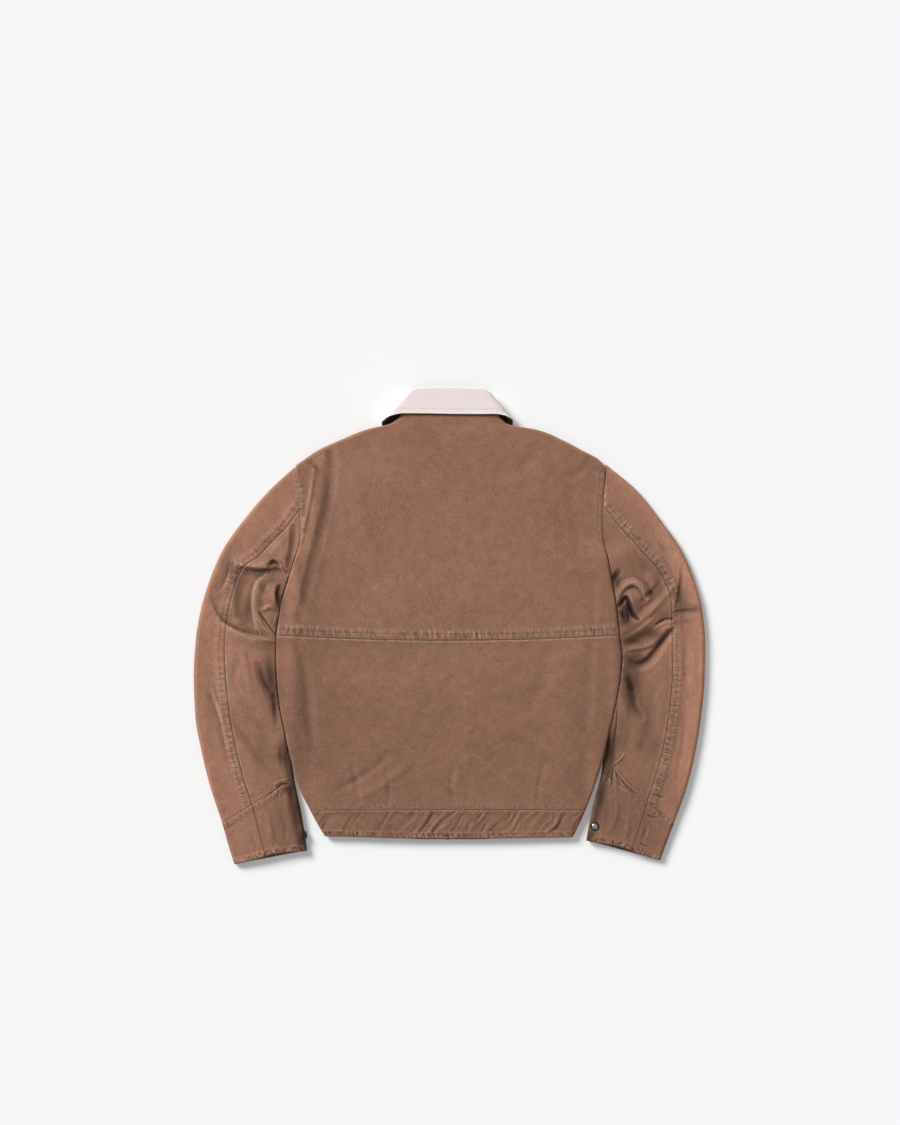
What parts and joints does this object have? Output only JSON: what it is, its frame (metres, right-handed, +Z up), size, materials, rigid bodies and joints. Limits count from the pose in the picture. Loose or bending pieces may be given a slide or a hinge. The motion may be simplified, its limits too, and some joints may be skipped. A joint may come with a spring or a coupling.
{
  "type": "harrington jacket",
  "caption": "Waist-length canvas harrington jacket laid face down, with a pale folded collar, seamed sleeves, snap cuffs, a banded hem and a closed front zip.",
  "frame": {"origin": "middle of the jacket's footprint, on the surface that it lies on", "axes": "+Z up from the surface, +Y towards the collar, +X towards the wearer's right sleeve; the back is up"},
  "size_m": [0.7662, 0.7153, 0.0223],
  "materials": {
    "canvas": "washed cotton canvas, matte",
    "canvas_dark": "dark brown cotton, matte",
    "collar_cloth": "pale pink fine corded cotton, matte",
    "zip_tape": "woven tape, matte",
    "zip_brass": "aged brass",
    "snap_dark": "blackened",
    "snap_steel": "brushed"
  },
  "bodies": {
    "jacket": {"back_upper": "canvas", "back_lower": "canvas", "front_left": "canvas", "front_right": "canvas", "waistband_back": "canvas", "waistband_front_left": "canvas", "waistband_front_right": "canvas", "collar_top": "collar_cloth", "undercollar": "canvas_dark", "collar_stand": "canvas_dark", "sleeve_upper_left": "canvas", "sleeve_upper_right": "canvas", "sleeve_under_left": "canvas", "sleeve_under_right": "canvas", "cuff_upper_left": "canvas", "cuff_upper_right": "canvas", "cuff_under_left": "canvas", "cuff_under_right": "canvas", "snap_cap_left": "snap_steel", "snap_cap_right": "snap_steel", "snap_ring_left": "snap_dark", "snap_ring_right": "snap_dark", "zip_tape_left": "zip_tape", "zip_tape_right": "zip_tape", "zip_chain": "zip_brass", "zip_slider": "zip_brass", "zip_box": "zip_brass"},
    "pull": {"zip_pull": "zip_brass"}
  },
  "joints": [
    {"name": "pull_hinge", "type": "hinge", "parent": "jacket", "child": "pull", "pos_m": [-0.003, 0.2242, 0.00235], "axis": [1, 0, 0], "range_deg": [0, 170]}
  ]
}
